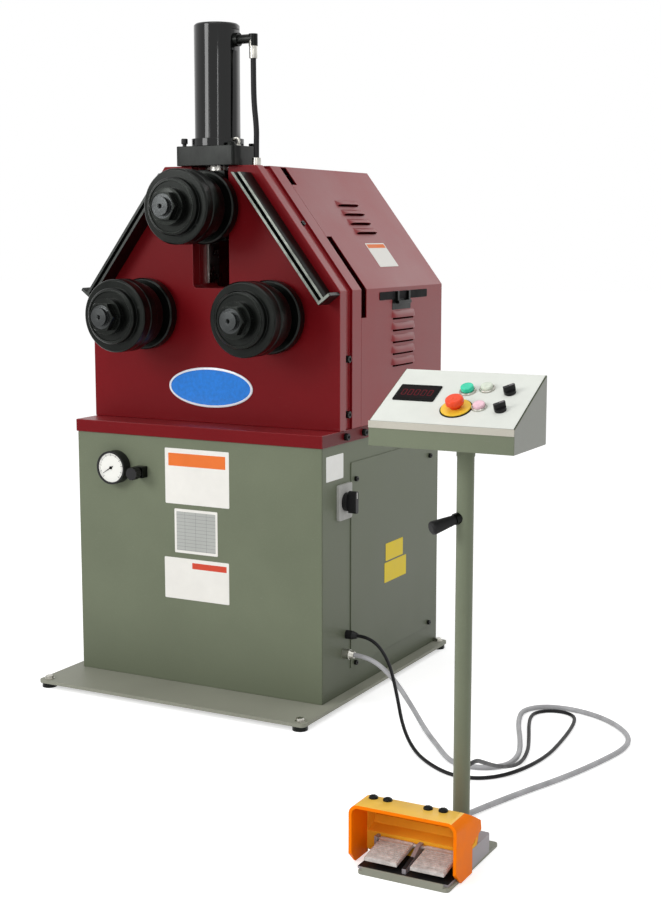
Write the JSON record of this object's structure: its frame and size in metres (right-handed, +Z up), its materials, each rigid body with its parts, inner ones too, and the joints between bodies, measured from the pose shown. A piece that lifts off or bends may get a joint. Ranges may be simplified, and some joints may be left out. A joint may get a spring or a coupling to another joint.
{
  "type": "section bending machine",
  "caption": "Three-roll angle and section bending machine with hydraulic top roll, red gabled head, olive cabinet, console on a pole, hooded foot switch and loose cables",
  "frame": {"origin": "On the floor at the centre of the four anchor holes in the base plate", "axes": "+Z up, -Y towards the rolls and the operator, +X to the machine's right side as the front is faced, where the control stand is"},
  "size_m": [1.7435, 1.7305, 1.952],
  "materials": {
    "olive_paint": "satin",
    "red_paint": "gloss",
    "black_steel": "satin",
    "bright_steel": "satin",
    "black_rubber": "matte",
    "black_plastic": "satin",
    "grey_plastic": "satin",
    "white_deck": "satin",
    "yellow_plastic": "gloss",
    "red_plastic": "gloss",
    "green_plastic": "gloss",
    "clear_plastic": "gloss",
    "orange_plastic": "gloss",
    "cast_grey": "satin"
  },
  "bodies": {
    "machine": {"base_plate": "olive_paint", "black_cable": "black_rubber", "black_cable_gland": "black_plastic", "cabinet_front": "olive_paint", "cabinet_left": "olive_paint", "cabinet_rear": "olive_paint", "cabinet_right": "olive_paint", "console_deck": "white_deck", "console_housing": "olive_paint", "cover_left": "red_paint", "cover_rear": "red_paint", "cover_right": "red_paint", "cover_top": "red_paint", "cylinder_tube": "black_steel", "cylinder_yoke": "black_steel", "foot_body": "cast_grey", "foot_hood": "orange_plastic", "gib_left": "bright_steel", "gib_right": "bright_steel", "grey_conduit": "grey_plastic", "grey_conduit_fitting": "bright_steel", "guide_bar_left": "bright_steel", "guide_bar_right": "bright_steel", "handle_clamp": "black_steel", "handle_grip": "black_rubber", "head_back_frame": "red_paint", "head_front_plate": "red_paint", "hose_bulkhead": "bright_steel", "hydraulic_hose": "black_rubber", "lamp_red": "red_plastic", "lamp_white": "clear_plastic", "ledge": "red_paint", "port_elbow": "bright_steel", "pressure_gauge": "black_plastic", "side_panel": "olive_paint", "stand_base": "olive_paint", "stand_pole": "olive_paint", "stop_collar": "yellow_plastic", "switch_plate": "grey_plastic", "valve_body": "black_plastic"},
    "carriage": {"carriage": "black_steel", "piston_rod": "bright_steel"},
    "top_roll": {"shaft_top": "bright_steel", "roll_top": "black_steel", "nut_top": "black_steel"},
    "left_roll": {"shaft_left": "bright_steel", "roll_left": "black_steel", "nut_left": "black_steel"},
    "right_roll": {"shaft_right": "bright_steel", "roll_right": "black_steel", "nut_right": "black_steel"},
    "pedal_left": {"pedal_left": "cast_grey"},
    "pedal_right": {"pedal_right": "cast_grey"},
    "stop_button": {"stop_button": "red_plastic"},
    "green_button": {"green_button": "green_plastic"},
    "selector_rear": {"selector_rear": "black_plastic"},
    "selector_front": {"selector_front": "black_plastic"},
    "switch_knob": {"switch_knob": "black_plastic"},
    "valve_knob": {"valve_knob": "black_plastic"}
  },
  "joints": [
    {"name": "carriage_slide", "type": "slide", "parent": "machine", "child": "carriage", "axis": [0, 0, -1], "range_m": [0, 0.13]},
    {"name": "top_roll_spin", "type": "hinge", "parent": "carriage", "child": "top_roll", "pos_m": [0, -0.2305, 1.43], "axis": [0, 1, 0], "continuous": true},
    {"name": "left_roll_spin", "type": "hinge", "parent": "machine", "child": "left_roll", "pos_m": [-0.216, -0.2305, 1.119], "axis": [0, 1, 0], "continuous": true},
    {"name": "right_roll_spin", "type": "hinge", "parent": "machine", "child": "right_roll", "pos_m": [0.216, -0.2305, 1.119], "axis": [0, 1, 0], "continuous": true},
    {"name": "pedal_left_press", "type": "hinge", "parent": "machine", "child": "pedal_left", "pos_m": [1.0455, -1.135, 0.042], "axis": [1, 0, 0], "range_deg": [0, 4.6], "stiffness_Nm_per_rad": 6, "springref_deg": -11.46},
    {"name": "pedal_right_press", "type": "hinge", "parent": "machine", "child": "pedal_right", "pos_m": [1.1545, -1.135, 0.042], "axis": [1, 0, 0], "range_deg": [0, 4.6], "stiffness_Nm_per_rad": 6, "springref_deg": -11.46},
    {"name": "stop_button_press", "type": "slide", "parent": "machine", "child": "stop_button", "axis": [0, 0.4565, -0.8897], "range_m": [0, 0.005]},
    {"name": "green_button_press", "type": "slide", "parent": "machine", "child": "green_button", "axis": [0, 0.4565, -0.8897], "range_m": [0, 0.004], "stiffness_N_per_m": 600, "springref_m": -0.004},
    {"name": "selector_rear_turn", "type": "hinge", "parent": "machine", "child": "selector_rear", "pos_m": [1.2295, -0.97941, 1.02086], "axis": [0, -0.4565, 0.8897], "range_deg": [-45, 45]},
    {"name": "selector_front_turn", "type": "hinge", "parent": "machine", "child": "selector_front", "pos_m": [1.2315, -1.03902, 0.99028], "axis": [0, -0.4565, 0.8897], "range_deg": [-45, 45]},
    {"name": "main_switch_turn", "type": "hinge", "parent": "machine", "child": "switch_knob", "pos_m": [0.4293, -0.1875, 0.594], "axis": [1, 0, 0], "range_deg": [0, 90]},
    {"name": "valve_turn", "type": "hinge", "parent": "machine", "child": "valve_knob", "pos_m": [-0.184, -0.352, 0.655], "axis": [0, -1, 0], "continuous": true}
  ],
  "couplings": [
    {"joint": "right_roll_spin", "follows": "left_roll_spin", "ratio": 1},
    {"joint": "top_roll_spin", "follows": "left_roll_spin", "ratio": -1}
  ]
}
